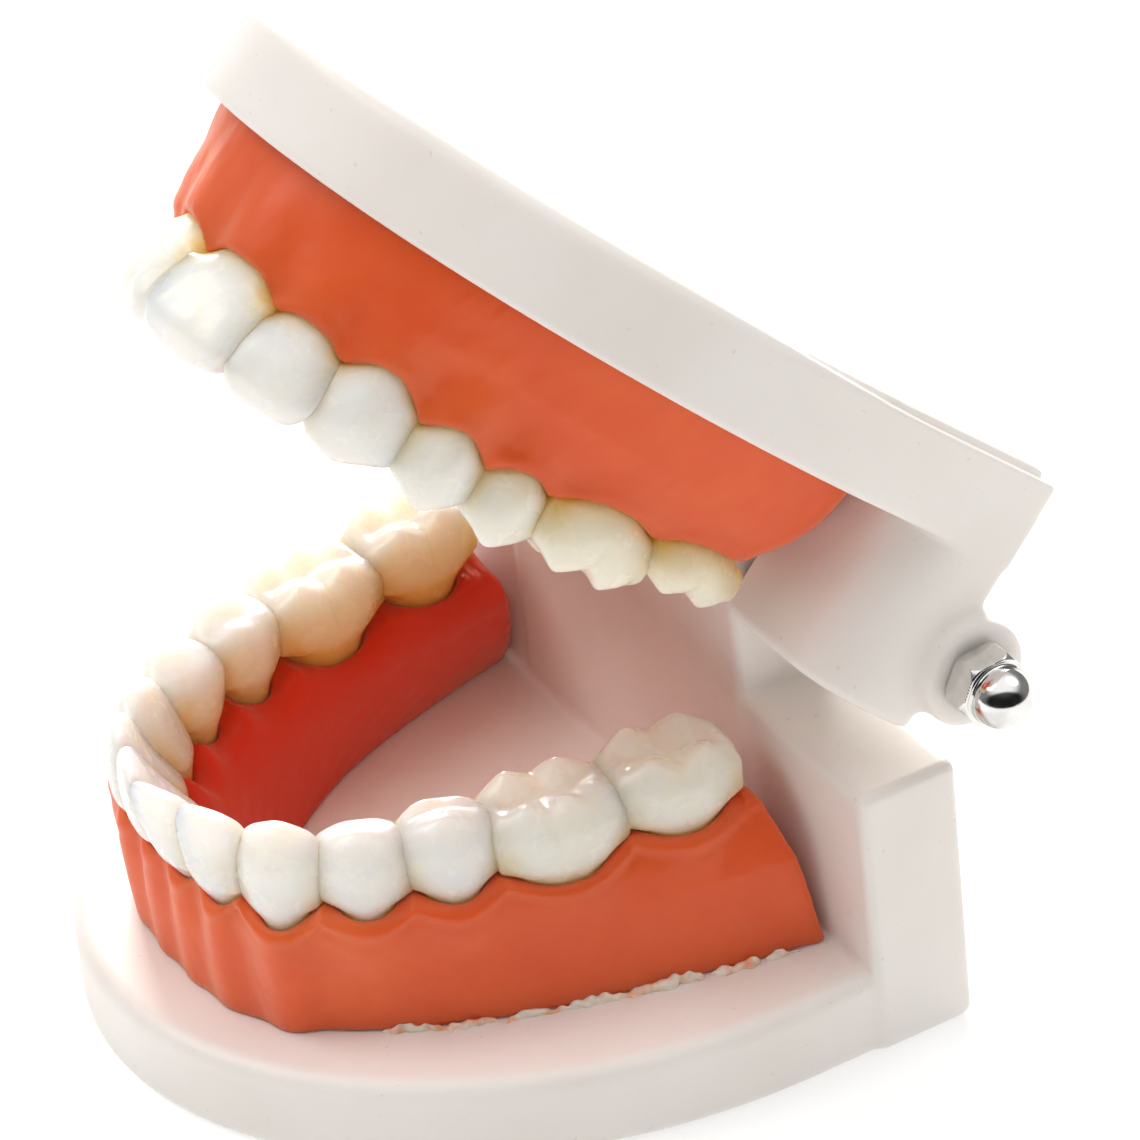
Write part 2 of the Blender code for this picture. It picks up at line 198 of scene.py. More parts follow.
def new_piece(name, points, faces, body, materials):
    """Makes a mesh object from millimetre points in the shut position, and puts it on its body at rest."""
    points = np.asarray(points, float)
    if body == "upper_jaw":
        cos, sin = math.cos(-OPEN_ANGLE), math.sin(-OPEN_ANGLE)
        y, z = points[:, 1] - HINGE_Y, points[:, 2] - HINGE_Z
        points = np.stack([points[:, 0], HINGE_Y + y * cos - z * sin, HINGE_Z + y * sin + z * cos], axis=1)
    mesh = bpy.data.meshes.new(name)
    if isinstance(faces, np.ndarray):
        count, size = faces.shape
        mesh.vertices.add(len(points))
        mesh.vertices.foreach_set("co", (points * MM).astype(np.float32).ravel())
        mesh.loops.add(count * size)
        mesh.loops.foreach_set("vertex_index", faces.astype(np.int32).ravel())
        mesh.polygons.add(count)
        mesh.polygons.foreach_set("loop_start", (np.arange(count) * size).astype(np.int32))
        mesh.update(calc_edges=True)
    else:
        mesh.from_pydata((points * MM).tolist(), [], faces)
    mesh.validate()
    mesh.shade_smooth()
    piece = new_object(name, mesh)
    for material in materials:
        mesh.materials.append(material)
    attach(piece, body)
    return piece


def set_attribute(piece, name, values):
    attribute = piece.data.attributes.new(name, "FLOAT", "POINT")
    attribute.data.foreach_set("value", np.asarray(values, np.float32))


# ---------------- arches

def arch_point(arch, angle):
    half_width, taper, rear, front, superellipse = arch
    power = 2.0 / superellipse
    forward = (rear - front) * math.sin(angle) ** power
    across = math.copysign(abs(math.cos(angle)) ** power, math.cos(angle))
    return (half_width - taper * forward) * across, rear - forward


def arch_line(arch, count=400):
    angles = np.linspace(math.pi / 2, 0.0, count)
    points = np.array([arch_point(arch, angle) for angle in angles])
    length = np.concatenate([[0.0], np.cumsum(np.linalg.norm(np.diff(points, axis=0), axis=1))])
    return points, length


def arch_places(arch, widths):
    """Middle point, mesial direction and outward direction of each tooth on the left side."""
    points, length = arch_line(arch)
    places = []
    start = 0.0
    for width in widths:
        ends = [
            np.array([np.interp(at, length, points[:, axis]) for axis in (0, 1)])
            for at in (start, start + width / 2, start + width)
        ]
        along = (ends[2] - ends[0]) / np.linalg.norm(ends[2] - ends[0])
        places.append((ends[1], -along, np.array([along[1], -along[0]])))
        start += width
    return places


# ---------------- teeth

# For each form, along the height from -0.4 (root) to 1 (tip): half-width share, outer side and inner side as
# shares of half the depth. Cusps are (x share of width, y share of depth, drop below the tip, steepness along
# the arch, steepness across it, roundness). Ridges join two such points. Grooves are (side, x share, width
# share, depth in mm). Corner is how far the tip's mesial and distal corners fall, fossa is the hollow behind an
# incisor, bow rounds both sides towards the neighbours, and web is (share of the thickness, share of the height).
INCISOR_WIDE = (
    (-0.4, 0.52), (-0.15, 0.62), (0.0, 0.72), (0.15, 0.84), (0.3, 0.94), (0.55, 1.0), (0.8, 0.99), (0.92, 0.94),
    (1.0, 0.84),
)
LOWER_INCISOR_WIDE = ((-0.4, 0.52), (0.0, 0.70), (0.3, 0.95), (0.65, 1.02), (0.85, 1.02), (1.0, 0.98))
CANINE_WIDE = ((-0.4, 0.45), (0.0, 0.57), (0.3, 0.88), (0.55, 1.02), (0.8, 0.98), (1.0, 0.84))
BACK_WIDE = ((-0.4, 0.54), (0.0, 0.66), (0.3, 0.93), (0.6, 1.03), (0.8, 1.0), (1.0, 0.86))
MOLAR_WIDE = ((-0.4, 0.62), (0.0, 0.74), (0.3, 0.94), (0.6, 1.02), (0.8, 1.0), (1.0, 0.92))
LOWER_MOLAR_INNER = ((-0.4, -0.70), (0.0, -0.86), (0.35, -0.98), (0.7, -0.94), (1.0, -0.76))
FORMS = {
    "upper_incisor": dict(
        wide=INCISOR_WIDE,
        outer=((-0.4, 0.62), (0.0, 0.84), (0.25, 1.02), (0.55, 1.08), (0.8, 0.92), (0.92, 0.70), (1.0, 0.48)),
        inner=((-0.4, -0.62), (0.0, -0.86), (0.2, -0.92), (0.45, -0.56), (0.75, -0.20), (1.0, -0.05)),
        bow=(0.3, 0.35), rounding=(0.80, 0.60), top_radius=0.55,
        cusps=((0.0, 0.05, 0.0, 0.10, 0.05, 2.0),), corner=(0.55, 1.15),
        grooves=((1, -0.17, 0.12, 0.06), (1, 0.17, 0.12, 0.06)), fossa=0.35, web=(0.88, 0.78),
    ),
    "lower_incisor": dict(
        wide=LOWER_INCISOR_WIDE,
        outer=((-0.4, 0.60), (0.0, 0.84), (0.25, 0.93), (0.55, 0.74), (0.8, 0.48), (1.0, 0.24)),
        inner=((-0.4, -0.62), (0.0, -0.86), (0.2, -0.92), (0.45, -0.60), (0.75, -0.30), (1.0, -0.16)),
        bow=(0.3, 0.2), rounding=(0.75, 0.55), top_radius=0.30,
        cusps=((0.0, 0.0, 0.0, 0.04, 0.05, 2.0),), corner=(0.15, 0.30),
        fossa=0.15, web=(0.88, 0.92), twist=0.22,
    ),
    "upper_canine": dict(
        wide=CANINE_WIDE,
        outer=((-0.4, 0.66), (0.0, 0.88), (0.3, 1.0), (0.6, 0.86), (0.8, 0.62), (1.0, 0.30)),
        inner=((-0.4, -0.66), (0.0, -0.88), (0.25, -0.96), (0.5, -0.72), (0.8, -0.38), (1.0, -0.18)),
        bow=(0.9, 0.5), rounding=(0.85, 0.75), top_radius=0.5,
        cusps=((0.10, 0.05, 0.0, 0.55, 0.3, 1.0),),
        grooves=((1, -0.24, 0.12, 0.06), (1, 0.26, 0.12, 0.06)), fossa=0.2, web=(0.84, 0.74),
    ),
    "lower_canine": dict(
        wide=CANINE_WIDE,
        outer=((-0.4, 0.64), (0.0, 0.88), (0.3, 0.98), (0.6, 0.84), (0.8, 0.62), (1.0, 0.32)),
        inner=((-0.4, -0.66), (0.0, -0.88), (0.25, -0.96), (0.5, -0.74), (0.8, -0.42), (1.0, -0.2)),
        bow=(0.9, 0.5), rounding=(0.90, 0.80), top_radius=0.45,
        cusps=((0.04, 0.05, 0.0, 0.42, 0.2, 0.6),),
        grooves=((1, -0.22, 0.10, 0.05),), fossa=0.2, web=(0.84, 0.78),
    ),
    "lower_first_premolar": dict(
        wide=BACK_WIDE,
        outer=((-0.4, 0.66), (0.0, 0.86), (0.3, 1.0), (0.6, 0.94), (0.85, 0.72), (1.0, 0.52)),
        inner=((-0.4, -0.66), (0.0, -0.84), (0.35, -0.97), (0.7, -0.98), (1.0, -0.80)),
        bow=(1.0, 0.8), rounding=(0.95, 0.92), top_radius=0.55,
        cusps=((0.02, 0.16, 0.0, 0.42, 0.50, 0.6), (0.0, -0.34, 2.1, 0.35, 0.5, 0.5)),
        ridges=((0.36, 0.10, 0.36, -0.20, 2.0, 0.6, 0.45), (-0.36, 0.10, -0.36, -0.20, 2.1, 0.6, 0.45)),
    ),
    "lower_second_premolar": dict(
        wide=BACK_WIDE,
        outer=((-0.4, 0.66), (0.0, 0.86), (0.3, 1.0), (0.6, 0.95), (0.85, 0.76), (1.0, 0.56)),
        inner=((-0.4, -0.66), (0.0, -0.84), (0.35, -0.98), (0.7, -0.97), (1.0, -0.74)),
        bow=(1.0, 0.8), rounding=(0.95, 0.92), top_radius=0.55,
        cusps=(
            (0.02, 0.20, 0.0, 0.45, 0.55, 0.6), (0.16, -0.28, 0.7, 0.45, 0.5, 0.5),
            (-0.2, -0.27, 1.0, 0.45, 0.5, 0.5),
        ),
        ridges=((0.37, 0.12, 0.37, -0.16, 1.7, 0.6, 0.4), (-0.37, 0.12, -0.37, -0.16, 1.8, 0.6, 0.4)),
    ),
    "upper_premolar": dict(
        wide=BACK_WIDE,
        outer=((-0.4, 0.66), (0.0, 0.86), (0.3, 0.98), (0.6, 0.90), (0.85, 0.68), (1.0, 0.50)),
        inner=((-0.4, -0.66), (0.0, -0.86), (0.35, -0.98), (0.7, -0.88), (1.0, -0.60)),
        bow=(1.1, 0.9), rounding=(0.95, 0.92), top_radius=0.40,
        cusps=((0.0, 0.24, 0.0, 0.70, 0.75, 0.35), (0.04, -0.24, 0.7, 0.55, 0.65, 0.45)),
        ridges=((0.38, 0.14, 0.38, -0.14, 1.9, 0.7, 0.35), (-0.38, 0.14, -0.38, -0.14, 2.0, 0.7, 0.35)),
        grooves=((1, -0.24, 0.10, 0.12), (1, 0.24, 0.10, 0.12)),
    ),
    "lower_first_molar": dict(
        wide=MOLAR_WIDE,
        outer=((-0.4, 0.70), (0.0, 0.88), (0.3, 1.0), (0.6, 0.94), (0.85, 0.78), (1.0, 0.66)),
        inner=LOWER_MOLAR_INNER,
        bow=(0.9, 0.7), rounding=(0.80, 0.70), top_radius=0.55,
        cusps=(
            (0.26, 0.25, 0.25, 0.72, 0.72, 0.45), (-0.07, 0.27, 0.35, 0.72, 0.72, 0.45),
            (-0.34, 0.12, 0.8, 0.65, 0.65, 0.45), (0.25, -0.26, 0.0, 0.72, 0.75, 0.42),
            (-0.17, -0.27, 0.1, 0.72, 0.75, 0.42),
        ),
        ridges=((0.42, 0.16, 0.42, -0.18, 1.3, 0.6, 0.4), (-0.42, 0.0, -0.40, -0.2, 1.4, 0.6, 0.4)),
        grooves=((1, 0.09, 0.05, 0.14), (1, -0.24, 0.045, 0.10), (-1, 0.04, 0.05, 0.35)),
    ),
    "lower_second_molar": dict(
        wide=MOLAR_WIDE,
        outer=((-0.4, 0.70), (0.0, 0.88), (0.3, 1.0), (0.6, 0.95), (0.85, 0.80), (1.0, 0.68)),
        inner=LOWER_MOLAR_INNER,
        bow=(0.9, 0.8), rounding=(0.85, 0.80), top_radius=0.55,
        cusps=(
            (0.23, 0.26, 0.15, 0.72, 0.72, 0.5), (-0.22, 0.26, 0.25, 0.72, 0.72, 0.5),
            (0.22, -0.27, 0.0, 0.72, 0.75, 0.45), (-0.22, -0.26, 0.1, 0.72, 0.75, 0.45),
        ),
        ridges=((0.41, 0.16, 0.41, -0.18, 1.3, 0.6, 0.4), (-0.41, 0.14, -0.40, -0.16, 1.3, 0.6, 0.4)),
        grooves=((1, 0.0, 0.05, 0.12), (-1, 0.0, 0.05, 0.32)),
    ),
    "upper_molar": dict(
        wide=MOLAR_WIDE,
        outer=((-0.4, 0.70), (0.0, 0.88), (0.3, 0.98), (0.6, 0.92), (0.85, 0.76), (1.0, 0.62)),
        inner=((-0.4, -0.70), (0.0, -0.88), (0.35, -1.0), (0.7, -0.92), (1.0, -0.70)),
        bow=(0.8, 0.9), rounding=(0.80, 0.72), top_radius=0.35,
        cusps=(
            (0.25, 0.27, 0.2, 0.80, 0.70, 0.30), (-0.18, 0.27, 0.4, 0.85, 0.70, 0.28),
            (0.14, -0.23, 0.2, 0.50, 0.55, 0.5), (-0.27, -0.26, 0.8, 0.55, 0.6, 0.45),
        ),
        ridges=(
            (0.41, 0.18, 0.40, -0.12, 1.5, 0.7, 0.35), (-0.41, 0.16, -0.41, -0.16, 1.6, 0.7, 0.35),
            (-0.16, 0.18, 0.08, -0.16, 1.0, 0.6, 0.35),
        ),
        grooves=((1, 0.03, 0.05, 0.22), (-1, -0.10, 0.05, 0.30)),
    ),
}
CONTACT = 0.20
WEB_REACH = 0.25
WEB_BOTTOM_SHARE = 0.21
WEB_BLEND = 1.7
CUSP_BLEND = 0.45
MIN_EDGE_RADIUS = 0.15
ROOT_SHARE_LOW = -0.38
TOOTH_MARGIN = 0.8


def tooth_field(tooth, x, y, t):
    """Field of a tooth in its own frame: x to the midline along the arch, y outward, t from neck to tip."""
    _, width, depth, height, _, form_name, _ = tooth
    form = FORMS[form_name]
    u = t / height
    y = y - lean_at(tooth, t) * (1 + form.get("twist", 0.0) * x / (width / 2))
    half = (width + CONTACT) / 2 * spline(form["wide"])(u)
    out_y = depth / 2 * spline(form["outer"])(u)
    in_y = depth / 2 * spline(form["inner"])(u)
    across = x / (width / 2)
    bow_out, bow_in = form["bow"]
    out_y = out_y - bow_out * across**2
    in_y = in_y + bow_in * across**2
    high = step(0.25, 0.75, u)
    for side, place, wide, deep in form.get("grooves", ()):
        dent = deep * bump_at(x / width, place, wide) * high
        if side > 0:
            out_y = out_y - dent
        else:
            in_y = in_y + dent
    if "fossa" in form:
        in_y = in_y + form["fossa"] * bump_at(x / width, 0.0, 0.26) * bump_at(u, 0.55, 0.3)
    low_round, high_round = form["rounding"]
    half_thick = (out_y - in_y) / 2
    rounding = low_round + (high_round - low_round) * step(0.1, 0.9, u)
    radius = np.maximum(np.minimum(half, half_thick) * rounding, MIN_EDGE_RADIUS)
    walls = np.maximum(y - out_y, in_y - y)
    sides = np.abs(x) - half
    body = round_meet(walls, sides, radius)

    top = None
    for place_x, place_y, drop, steep_x, steep_y, roundness in form["cusps"]:
        fall_x = (x - place_x * width) * steep_x
        fall_y = (y - place_y * depth) * steep_y
        reach = np.sqrt(fall_x**2 + fall_y**2 + (roundness * steep_x) ** 2)
        cone = height - drop - (reach - roundness * steep_x)
        top = cone if top is None else soft_max(top, cone, CUSP_BLEND)
    for x0, y0, x1, y1, drop, steep, roundness in form.get("ridges", ()):
        start = np.array([x0 * width, y0 * depth])
        run = np.array([x1 * width, y1 * depth]) - start
        share = np.clip(((x - start[0]) * run[0] + (y - start[1]) * run[1]) / (run @ run), 0, 1)
        gap = np.hypot(x - start[0] - share * run[0], y - start[1] - share * run[1])
        ridge = height - drop - steep * (np.sqrt(gap**2 + roundness**2) - roundness)
        top = soft_max(top, ridge, CUSP_BLEND)
    if "corner" in form:
        mesial, distal = form["corner"]
        edge = np.clip(np.abs(across), 0, 1.2) ** 4
        top = top - edge * np.where(x > 0, mesial, distal)
    body = round_meet(body, (t - top) * 0.85, form["top_radius"])
    # Web of the same plastic that joins a tooth to its neighbours behind the contact points.
    web_half = np.abs(x) - (width / 2 + WEB_REACH)
    web_share, web_height = form.get("web", (0.80, 0.70))
    web_top = (t - web_height * height) * 0.9
    middle = (out_y + in_y) / 2
    web = round_meet(np.maximum(np.abs(y - middle) - web_share * half_thick, web_half), web_top, 0.8)
    web = round_meet(web, (WEB_BOTTOM_SHARE * height - t) * 0.9, 0.25)
    body = soft_min(body, web, WEB_BLEND)
    bottom = ROOT_SHARE_LOW * height
    return round_meet(body, bottom - t, 0.4)


def lean_at(tooth, t):
    """How far outward the middle of a tooth is. Lower teeth lean about the neck, upper ones about the tip."""
    _, _, _, height, _, form_name, lean = tooth
    pivot = 0.0 if form_name.startswith("lower") else 1.0
    return lean * (np.clip(t / height, -0.35, 1.1) - pivot)


def local_frame(place, neck, x, y, c):
    """Shared coordinates turned into those of one tooth. c is height towards the tips."""
    (px, py), mesial, outward = place
    dx, dy = x - px, y - py
    return dx * mesial[0] + dy * mesial[1], dx * outward[0] + dy * outward[1], c - neck


def make_tooth_mesh(tooth, place, neck, seed):
    """Points in (x, y, c), faces and share of the crown height of the left tooth. c is height towards the tips."""
    _, width, depth, height, _, _, _ = tooth
    leans = (1.3 * lean_at(tooth, ROOT_SHARE_LOW * height), 1.3 * lean_at(tooth, height))
    low = (-width / 2 - TOOTH_MARGIN, -depth / 2 - TOOTH_MARGIN + min(leans), ROOT_SHARE_LOW * height - 0.7)
    high = (width / 2 + TOOTH_MARGIN, depth / 2 + TOOTH_MARGIN + max(leans), height + TOOTH_MARGIN)
    axes = grid_axes(low, high, TOOTH_PITCH)
    x, y, t = np.meshgrid(*axes, indexing="ij")
    field = tooth_field(tooth, x, y, t)
    field = field + 0.035 * wobble(x, y, t, 2.6, seed)
    points, quads = mesh_of_field(field, low, TOOTH_PITCH)
    middle, mesial, outward = place
    flat = middle + points[:, :1] * mesial + points[:, 1:2] * outward
    world = np.column_stack([flat, neck + points[:, 2]])
    # Where mesial, outward and tip make a left-handed set, the faces point in and are turned round.
    if mesial[0] * outward[1] - mesial[1] * outward[0] < 0:
        quads = quads[:, ::-1]
    return world, quads, points[:, 2] / height


# ---------------- gums

# Heights are towards the tips of the teeth. Outer and inner wall are given at the bed, half way and at the margin,
# and mid and top are those two heights at the rear and at the front. Papillae are the margin's peaks from the
# midline back, and roots are how far each tooth's bulge runs down.
GUMS = {
    "lower": dict(
        bed=7.25, mid=(15.0, 13.0), top=(18.8, 16.8),
        outer=((27.8, 0.22, 19.2, -21.8, 3.1), (26.6, 0.19, 18.0, -21.6, 3.3), (24.3, 0.11, 17.0, -21.2, 3.5)),
        inner=((19.8, 0.26, 18.8, -9.0, 3.0), (15.6, 0.12, 17.6, -14.0, 3.2), (16.0, 0.10, 16.6, -16.4, 3.2)),
        papillae=(18.9, 18.9, 18.9, 19.0, 19.2, 19.5, 19.9, 19.9), inner_drop=1.3, end_round=0.6, end_fall=0.15,
        roots=(10.5, 10.5, 11.0, 5.0, 4.5, 4.0, 4.0), root_share=0.74, root_reach=1.9, root_out=0.95,
        shift=0.0, lip=0.30,
    ),
    "upper": dict(
        bed=-39.05, mid=(-33.0, -34.5), top=(-29.4, -30.8),
        outer=((27.6, 0.02, 17.6, -24.8, 2.25), (26.3, 0.02, 16.6, -24.9, 2.15), (24.1, 0.0, 14.6, -24.3, 2.05)),
        inner=((12.6, -0.03, 17.6, -15.0, 2.0), (14.2, -0.03, 16.6, -18.2, 2.0), (14.9, -0.03, 14.6, -19.7, 2.0)),
        papillae=(-28.5, -28.6, -28.3, -27.6, -27.3, -27.4, -28.2, -29.0), inner_drop=0.8, end_round=3.0, end_fall=0.25,
        roots=(6.5, 6.0, 7.5, 5.0, 4.5, 3.5, 3.0), root_share=0.90, root_reach=2.4, root_out=0.55,
        shift=1.8, lip=0.10,
    ),
}
PALATE = 2.4
PALATE_BACK_Y = 17.0
LIP_BELOW_MARGIN = 0.50
DIP_BELOW_MARGIN = 1.35
TRENCH_REACH = 0.12
SOCKET_GAP = 0.03
COLUMNS_AT_ONCE = 4000


def arch_region(x, y, arch):
    """Field of the region inside an arch. The arch numbers may be arrays."""
    half_width, taper, rear, front, power = arch
    forward = np.maximum(rear - y, 0.0)
    span = rear - front
    wide = half_width - taper * forward
    sx = np.abs(x) / wide + 1e-6
    sy = forward / span
    g = (sx**power + sy**power) ** (1 / power)
    slope_x = (sx / g) ** (power - 1) / wide
    slope_y = (sy / g) ** (power - 1) / span
    return (g - 1) / np.hypot(slope_x, slope_y)


def blend_arch(arches, q):
    """Smooth curve through the arch numbers at q = 0, 1 and 2."""
    weights = ((q - 1) * (q - 2) / 2, q * (2 - q), q * (q - 1) / 2)
    return [sum(w * arch[i] for w, arch in zip(weights, arches)) for i in range(5)]


def margin_table(teeth, necks, papillae, fall=0.25):
    """Margin height along the arch, as a function of the distance from the midline."""
    places = []
    heights = []
    start = 0.0
    for i, tooth in enumerate(teeth):
        width = tooth[1]
        for share in np.linspace(0.0, 1.0, 24, endpoint=False):
            p = abs(2 * share - 1)
            peak = papillae[i] if share < 0.5 else papillae[i + 1]
            places.append(start + share * width)
            heights.append(necks[i] + (peak - necks[i]) * p**2.3)
        start += width
    places += [start, start + 3.0, start + 8.0]
    heights += [papillae[-1], papillae[-1] - 3.0 * fall, papillae[-1] - 8.0 * fall]
    return lambda s: np.interp(s, places, heights)


def columns_near(place, reach, axes, pitch):
    """Slices of the grid's columns within reach of a tooth."""
    return tuple(
        slice(max(int((centre - reach - axis[0]) / pitch), 0), int((centre + reach - axis[0]) / pitch) + 2)
        for centre, axis in zip(place[0], axes)
    )


def make_gum(jaw, teeth, arch, seed):
    """Points in (x, y, c) of a whole gum."""
    form = GUMS[jaw]
    up = 1 if jaw == "lower" else -1
    necks = [up * tooth[4] - tooth[3] for tooth in teeth]
    places = arch_places(arch, [tooth[1] for tooth in teeth])
    pitch = GUM_PITCH
    low = (0.0, -30.0, form["bed"] - 4 * pitch)
    high = (30.0, 21.0, form["bed"] + 14.0)
    axes = grid_axes(low, high, pitch)
    x, y, c = np.meshgrid(*axes, indexing="ij", copy=False)
    x, y, c = (np.ascontiguousarray(v, dtype=np.float32) for v in (x, y, c))

    rear, front = form["outer"][1][2:4]
    share = np.clip((rear - y) / (rear - front), 0.0, 1.0) ** 1.4
    mid = form["mid"][0] + (form["mid"][1] - form["mid"][0]) * share
    top = form["top"][0] + (form["top"][1] - form["top"][0]) * share
    q = np.where(c < mid, (c - form["bed"]) / (mid - form["bed"]), 1 + (c - mid) / (top - mid))
    q = np.clip(q, -0.1, 2.15)
    outer_arch = blend_arch(form["outer"], q)
    outer = arch_region(x, y, outer_arch)
    inner = -arch_region(x, y, blend_arch(form["inner"], q))

    # Distance along the tooth arch for each column.
    line, length = arch_line(arch)
    columns = np.stack(np.meshgrid(axes[0], axes[1], indexing="ij"), axis=-1).reshape(-1, 2)
    nearest = np.empty(len(columns), int)
    for start in range(0, len(columns), COLUMNS_AT_ONCE):
        part = slice(start, start + COLUMNS_AT_ONCE)
        nearest[part] = np.argmin(((columns[part, None] - line[None]) ** 2).sum(-1), axis=1)
    along = length[nearest].reshape(len(axes[0]), len(axes[1]))
    along = along + np.maximum(axes[1][None, :] - arch[2], 0.0)
    margin = margin_table(teeth, necks, form["papillae"], form["end_fall"])(along).astype(np.float32)
    flat_arch = arch_region(axes[0][:, None], axes[1][None, :], arch)
    margin = margin - form["inner_drop"] * step(0.5, -2.5, flat_arch + form["shift"]).astype(np.float32)
    crest = (c - margin[:, :, None]) * 0.8
    lip_place = (c - margin[:, :, None] + LIP_BELOW_MARGIN) / 0.40
    dip_place = (c - margin[:, :, None] + DIP_BELOW_MARGIN) / 0.50
    outer = outer - form["lip"] * (np.exp(-(lip_place**2)) - 0.5 * np.exp(-(dip_place**2)))

    walls = round_meet(outer, y - outer_arch[2], form["end_round"])
    body = round_meet(walls, crest, 0.9)
    for tooth, place, neck, depth_of_root in zip(teeth, places, necks, form["roots"]):
        block = columns_near(place, max(tooth[1], tooth[2]) / 2 + 3.5, axes, pitch)
        bx, by, bc = x[block], y[block], c[block]
        for mirror in (1, -1):
            m, o, t = local_frame(place, neck, mirror * bx, by, bc)
            down = np.clip(-t / depth_of_root, 0.0, 1.3)
            half = tooth[1] / 2 * form["root_share"] * (1 - 0.2 * down)
            out_y = tooth[2] / 2 * 0.84 + form["root_out"] - 0.2 * down - 1.4 * down**3 - 0.3 * (m / half) ** 2
            out_y = out_y + lean_at(tooth, np.zeros(1))[0]
            root = round_meet(o - out_y, np.abs(m) - half, 0.9 * half)
            root = np.maximum(root, -o - tooth[2] / 2)
            root = round_meet(root, crest[block], 0.8)
            body[block] = soft_min(body[block], root, form["root_reach"])
    body = round_meet(body, inner, 0.9)
    if jaw == "upper":
        slab = np.maximum(c - (form["bed"] + PALATE), arch_region(x, y, form["outer"][1]) + 3.0)
        rugae = 0.28 * np.sin((y + 0.35 * np.abs(x)) * 2.1) * step(2.0, 4.0, np.abs(x)) * step(2.0, -6.0, y)
        slab = np.maximum(slab - rugae, y - PALATE_BACK_Y)
        body = round_join(body, slab, 3.5)
    body = round_meet(body, form["bed"] - c, 0.3)
    body = body + 0.05 * wobble(x, y, c, 5.0, seed) + 0.02 * wobble(x, y, c, 1.6, seed + 1)
    for tooth, place, neck in zip(teeth, places, necks):
        block = columns_near(place, max(tooth[1], tooth[2]) / 2 + 1.2 + tooth[6], axes, pitch)
        bx, by, bc = x[block], y[block], c[block]
        for mirror in (1, -1):
            m, o, t = local_frame(place, neck, mirror * bx, by, bc)
            crown = tooth_field(tooth, m, o, t)
            reach_of_trench = TRENCH_REACH - 0.08 * step(0.45, 0.85, np.abs(m) / (tooth[1] / 2))
            trench = np.maximum(crown - reach_of_trench, (margin[block][:, :, None] - 0.25) - bc)
            body[block] = soft_max(body[block], -trench, 0.45)
            body[block] = soft_max(body[block], -(crown + SOCKET_GAP), 0.25)
    whole = np.concatenate([body[:0:-1], body], axis=0)
    low = (-axes[0][-1], low[1], low[2])
    return mesh_of_field(whole, low, pitch)


def make_crust():
    """Irregular bits of set glue along the outer seam between the lower gum and its plate."""
    pitch = 0.14
    low, high = (0.0, -18.0, 6.9), (29.5, 19.0, 8.3)
    axes = grid_axes(low, high, pitch)
    x, y, z = (v.astype(np.float32) for v in np.meshgrid(*axes, indexing="ij", copy=False))
    gap = arch_region(x, y, GUMS["lower"]["outer"][0]) - 0.14
    share = step(-17.5, -11.0, y) * step(18.5, 15.0, y)
    ragged = 0.75 * wobble(x, y, z, 2.6, 71) + 0.5 * wobble(x, y, z, 1.0, 72)
    thick = (0.36 + 0.42 * ragged) * share - 0.25 * (1 - share)
    field = np.hypot(gap, z - 7.30) - thick
    field = np.where(x < 2.0, 1.0, field)
    points, quads = mesh_of_field(field, low, pitch)
    other = points * np.array([-1.0, 1.0, 1.0])
    return np.concatenate([points, other]), np.concatenate([quads, quads[:, ::-1] + len(points)])


def to_world(points, up):
    points = np.array(points)
    points[:, 2] *= up
    return points


# ---------------- materials

def srgb(red, green, blue):
    shares = (value / 255 for value in (red, green, blue))
    return (*(v / 12.92 if v <= 0.04045 else ((v + 0.055) / 1.055) ** 2.4 for v in shares), 1.0)


def feed(tree, socket, value):
    """Links another node's output to an input, or sets the input to a constant."""
    if isinstance(value, bpy.types.NodeSocket):
        tree.links.new(value, socket)
    else:
        socket.default_value = value


def map_range(tree, source, low, high, to_low, to_high, kind="LINEAR"):
    node = tree.nodes.new("ShaderNodeMapRange")
    node.interpolation_type = kind
    for name, value in (("From Min", low), ("From Max", high), ("To Min", to_low), ("To Max", to_high)):
        node.inputs[name].default_value = value
    tree.links.new(source, node.inputs["Value"])
    return node.outputs["Result"]


